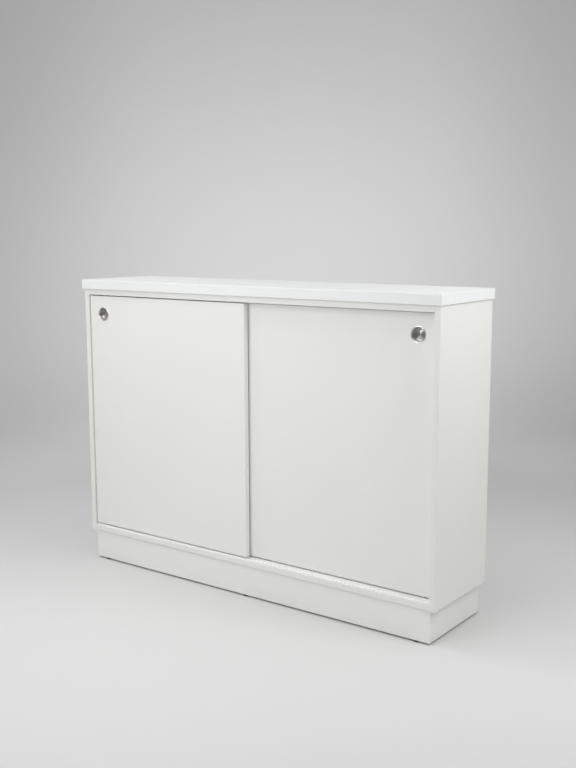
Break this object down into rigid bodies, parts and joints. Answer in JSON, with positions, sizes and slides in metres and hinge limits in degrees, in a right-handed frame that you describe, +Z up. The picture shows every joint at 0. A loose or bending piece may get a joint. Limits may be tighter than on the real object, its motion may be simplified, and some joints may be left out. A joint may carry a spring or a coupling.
{
  "type": "sliding door cabinet",
  "caption": "Low white cabinet on a set-back plinth, with overlapping sliding doors, round flush finger pulls and a thicker overhanging top.",
  "frame": {"origin": "on the floor, below the middle of the top slab", "axes": "+X from left to right as seen from the front, +Y from front to back, +Z up"},
  "size_m": [1.2, 0.285, 0.858],
  "materials": {
    "slab_board": "satin melamine",
    "white_board": "satin melamine",
    "door_board": "satin melamine",
    "back_board": "matt",
    "stainless": "brushed",
    "steel": "satin",
    "zinc": "cast",
    "beech": "bare",
    "white_plastic": "satin",
    "grey_plastic": "satin",
    "dark_plastic": "matt",
    "nylon": "satin",
    "rubber": "matt"
  },
  "bodies": {
    "carcass": {"top_slab": "slab_board", "side_left": "white_board", "side_right": "white_board", "carcass_top": "white_board", "carcass_bottom": "white_board", "back_panel": "back_board", "centre_divider": "white_board", "shelf_left": "white_board", "shelf_right": "white_board", "shelf_pins": "steel", "cam_discs": "zinc", "cam_bolts": "steel", "dowels": "beech", "plinth_front": "white_board", "plinth_back": "white_board", "plinth_end_left": "white_board", "plinth_end_right": "white_board", "plinth_cross_rail": "white_board", "plinth_blocks": "white_plastic", "plinth_glides": "dark_plastic", "lower_track": "white_plastic", "upper_track_front": "white_plastic", "upper_track_rear": "white_plastic", "door_stops": "rubber"},
    "left_door_roller_left": {"left_door_roller_left": "nylon"},
    "left_door_roller_right": {"left_door_roller_right": "nylon"},
    "left_door": {"left_door_panel": "door_board", "left_door_pull": "stainless", "left_door_axles": "steel", "left_door_housing_left": "grey_plastic", "left_door_guide_left": "grey_plastic", "left_door_housing_right": "grey_plastic", "left_door_guide_right": "grey_plastic"},
    "right_door_roller_left": {"right_door_roller_left": "nylon"},
    "right_door_roller_right": {"right_door_roller_right": "nylon"},
    "right_door": {"right_door_panel": "door_board", "right_door_pull": "stainless", "right_door_axles": "steel", "right_door_housing_left": "grey_plastic", "right_door_guide_left": "grey_plastic", "right_door_housing_right": "grey_plastic", "right_door_guide_right": "grey_plastic"}
  },
  "joints": [
    {"name": "left_door_slide", "type": "slide", "parent": "carcass", "child": "left_door", "axis": [1, 0, 0], "range_m": [0, 0.568]},
    {"name": "left_door_roller_left_spin", "type": "hinge", "parent": "left_door", "child": "left_door_roller_left", "pos_m": [-0.5075, -0.1225, 0.1163], "axis": [0, 1, 0], "continuous": true},
    {"name": "left_door_roller_right_spin", "type": "hinge", "parent": "left_door", "child": "left_door_roller_right", "pos_m": [-0.0605, -0.1225, 0.1163], "axis": [0, 1, 0], "continuous": true},
    {"name": "right_door_slide", "type": "slide", "parent": "carcass", "child": "right_door", "axis": [-1, 0, 0], "range_m": [0, 0.568]},
    {"name": "right_door_roller_left_spin", "type": "hinge", "parent": "right_door", "child": "right_door_roller_left", "pos_m": [0.0605, -0.1025, 0.1163], "axis": [0, 1, 0], "continuous": true},
    {"name": "right_door_roller_right_spin", "type": "hinge", "parent": "right_door", "child": "right_door_roller_right", "pos_m": [0.5075, -0.1025, 0.1163], "axis": [0, 1, 0], "continuous": true}
  ],
  "couplings": [
    {"joint": "left_door_roller_left_spin", "follows": "left_door_slide", "rad_per_m": 111.11},
    {"joint": "left_door_roller_right_spin", "follows": "left_door_slide", "rad_per_m": 111.11},
    {"joint": "right_door_roller_left_spin", "follows": "right_door_slide", "rad_per_m": -111.11},
    {"joint": "right_door_roller_right_spin", "follows": "right_door_slide", "rad_per_m": -111.11}
  ]
}
